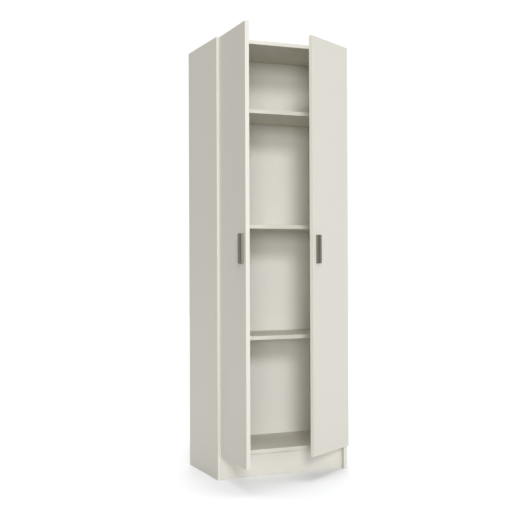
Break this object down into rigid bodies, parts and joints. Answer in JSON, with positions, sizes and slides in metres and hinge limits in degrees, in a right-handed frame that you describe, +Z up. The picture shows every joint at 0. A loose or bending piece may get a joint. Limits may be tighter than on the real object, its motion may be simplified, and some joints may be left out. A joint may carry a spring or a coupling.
{
  "type": "wardrobe with doors",
  "caption": "Tall white storage wardrobe: overlay doors on concealed cup hinges, shelves behind them, a recessed plinth and satin bar handles.",
  "frame": {"origin": "on the floor, under the middle of the plinth board's underside", "axes": "+X to the right seen from the front, +Y to the back (the wall), +Z up"},
  "size_m": [0.6058, 0.6489, 1.8],
  "materials": {
    "white_melamine": "satin white melamine foil on particle board",
    "white_hardboard": "white lacquered hardboard",
    "satin_metal": "satin bronze-grey plating",
    "nickel_steel": "bright nickel plating",
    "clear_plastic": "translucent soft pad"
  },
  "bodies": {
    "carcass": {"side_panel_left": "white_melamine", "side_panel_right": "white_melamine", "top_panel": "white_melamine", "bottom_panel": "white_melamine", "plinth_board": "white_melamine", "back_panel": "white_hardboard", "shelf_lower": "white_melamine", "shelf_middle": "white_melamine", "shelf_upper": "white_melamine", "shelf_pin_lower_left_front": "nickel_steel", "shelf_pin_lower_left_rear": "nickel_steel", "shelf_pin_upper_left_front": "nickel_steel", "shelf_pin_upper_left_rear": "nickel_steel", "hinge_plate_left_lower": "nickel_steel", "hinge_arm_left_lower": "nickel_steel", "hinge_plate_left_middle": "nickel_steel", "hinge_arm_left_middle": "nickel_steel", "hinge_plate_left_upper": "nickel_steel", "hinge_arm_left_upper": "nickel_steel", "shelf_pin_lower_right_front": "nickel_steel", "shelf_pin_lower_right_rear": "nickel_steel", "shelf_pin_upper_right_front": "nickel_steel", "shelf_pin_upper_right_rear": "nickel_steel", "hinge_plate_right_lower": "nickel_steel", "hinge_arm_right_lower": "nickel_steel", "hinge_plate_right_middle": "nickel_steel", "hinge_arm_right_middle": "nickel_steel", "hinge_plate_right_upper": "nickel_steel", "hinge_arm_right_upper": "nickel_steel"},
    "left_outer_links": {"hinge_outer_link_left_lower": "nickel_steel", "hinge_outer_link_left_middle": "nickel_steel", "hinge_outer_link_left_upper": "nickel_steel"},
    "left_inner_links": {"hinge_inner_link_left_lower": "nickel_steel", "hinge_inner_link_left_middle": "nickel_steel", "hinge_inner_link_left_upper": "nickel_steel"},
    "left_door": {"door_left": "white_melamine", "handle_left": "satin_metal", "handle_screw_left_lower": "nickel_steel", "handle_screw_left_upper": "nickel_steel", "bumper_left_lower": "clear_plastic", "bumper_left_upper": "clear_plastic", "hinge_cup_left_lower": "nickel_steel", "hinge_cup_left_middle": "nickel_steel", "hinge_cup_left_upper": "nickel_steel"},
    "right_outer_links": {"hinge_outer_link_right_lower": "nickel_steel", "hinge_outer_link_right_middle": "nickel_steel", "hinge_outer_link_right_upper": "nickel_steel"},
    "right_inner_links": {"hinge_inner_link_right_lower": "nickel_steel", "hinge_inner_link_right_middle": "nickel_steel", "hinge_inner_link_right_upper": "nickel_steel"},
    "right_door": {"door_right": "white_melamine", "handle_right": "satin_metal", "handle_screw_right_lower": "nickel_steel", "handle_screw_right_upper": "nickel_steel", "bumper_right_lower": "clear_plastic", "bumper_right_upper": "clear_plastic", "hinge_cup_right_lower": "nickel_steel", "hinge_cup_right_middle": "nickel_steel", "hinge_cup_right_upper": "nickel_steel"}
  },
  "joints": [
    {"name": "left_outer_link_swing", "type": "hinge", "parent": "carcass", "child": "left_outer_links", "pos_m": [-0.253, -0.014, 0.94875], "axis": [0, 0, 1], "range_deg": [-26.78, 2.54]},
    {"name": "left_door_swing", "type": "hinge", "parent": "left_outer_links", "child": "left_door", "pos_m": [-0.27172, -0.04346, 0.94875], "axis": [0, 0, -1], "range_deg": [-118.22, 10.98]},
    {"name": "left_inner_link_swing", "type": "hinge", "parent": "carcass", "child": "left_inner_links", "pos_m": [-0.26081, -0.02633, 0.94875], "axis": [0, 0, 1], "range_deg": [-36.66, 3.46]},
    {"name": "right_outer_link_swing", "type": "hinge", "parent": "carcass", "child": "right_outer_links", "pos_m": [0.253, -0.014, 0.94875], "axis": [0, 0, -1], "range_deg": [-9.84, 19.48]},
    {"name": "right_door_swing", "type": "hinge", "parent": "right_outer_links", "child": "right_door", "pos_m": [0.27949, -0.03673, 0.94875], "axis": [0, 0, 1], "range_deg": [-43.28, 85.92]},
    {"name": "right_inner_link_swing", "type": "hinge", "parent": "carcass", "child": "right_inner_links", "pos_m": [0.26081, -0.02633, 0.94875], "axis": [0, 0, -1], "range_deg": [-13.46, 26.66]}
  ],
  "couplings": [
    {"joint": "left_outer_link_swing", "follows": "left_door_swing", "ratio": 0.22601},
    {"joint": "left_inner_link_swing", "follows": "left_door_swing", "ratio": 0.3096},
    {"joint": "right_outer_link_swing", "follows": "right_door_swing", "ratio": 0.22601},
    {"joint": "right_inner_link_swing", "follows": "right_door_swing", "ratio": 0.3096}
  ]
}
